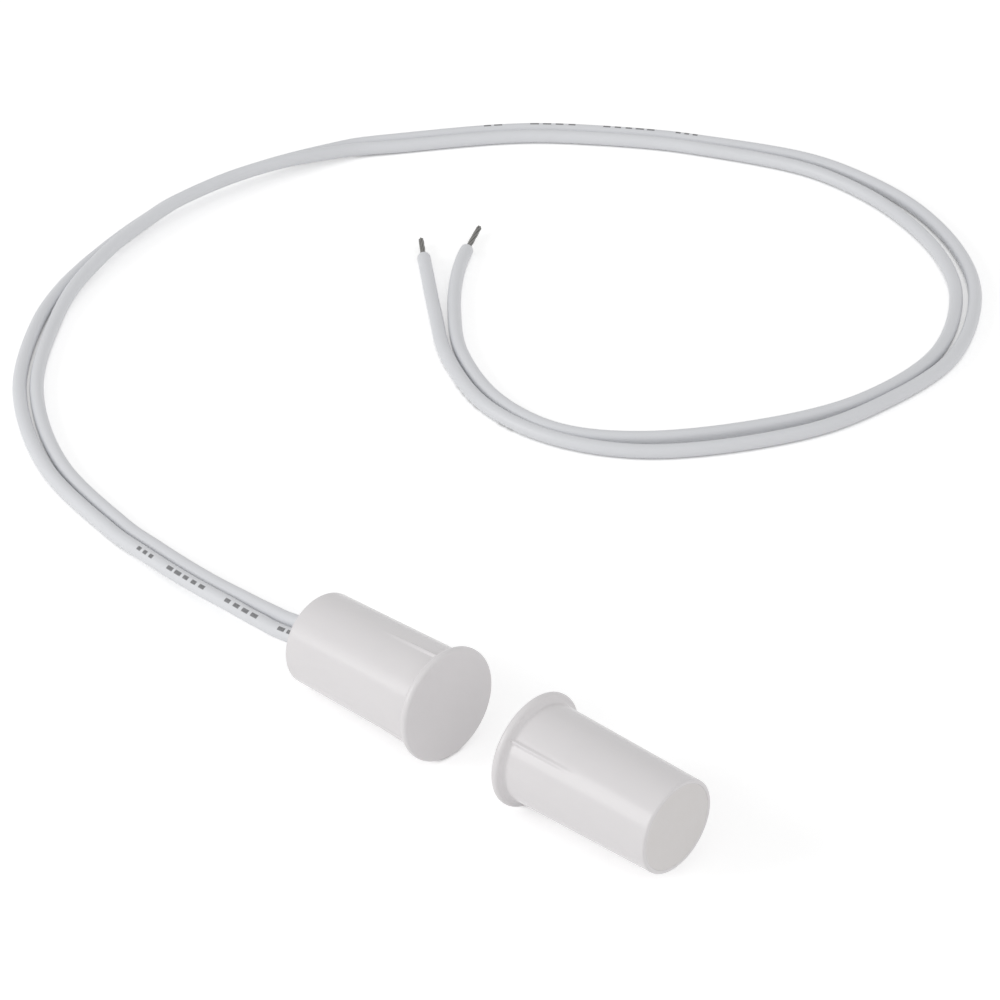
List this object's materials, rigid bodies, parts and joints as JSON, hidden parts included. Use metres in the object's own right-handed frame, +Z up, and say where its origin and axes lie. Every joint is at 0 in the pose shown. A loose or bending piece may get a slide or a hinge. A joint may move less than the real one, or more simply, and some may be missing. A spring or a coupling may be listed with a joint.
{
  "type": "recessed magnetic contact",
  "caption": "Press-fit door contact pair: a flanged reed switch cup with two loose wire leads, and a matching flanged magnet cup.",
  "frame": {"origin": "on the floor, under the centre of the box round the two halves without the leads", "axes": "+X along the line of the pair, from the switch half to the magnet half; +Z up from the floor the pair lies on"},
  "size_m": [0.1159, 0.1139, 0.011],
  "materials": {
    "white_plastic": "moulded, satin to gloss",
    "resin": "cast resin",
    "glass": "clear, faint green",
    "reed_metal": "plated nickel iron",
    "solder": "dull solder",
    "tinned_copper": "tinned strands",
    "jacket_a": "white wire insulation, printed side",
    "jacket_b": "white wire insulation",
    "magnet_alloy": "ground magnet alloy"
  },
  "bodies": {
    "root": {"switch_housing": "white_plastic", "switch_potting": "resin", "reed_glass": "glass", "reed_blade_front": "reed_metal", "reed_blade_rear": "reed_metal", "solder_joint_a": "solder", "solder_joint_b": "solder", "wire_a_core_inner": "tinned_copper", "wire_b_core_inner": "tinned_copper", "wire_a": "jacket_a", "wire_b": "jacket_b", "wire_a_tip": "tinned_copper", "wire_b_tip": "tinned_copper", "magnet_housing": "white_plastic", "bar_magnet": "magnet_alloy", "magnet_potting": "resin"}
  },
  "joints": []
}
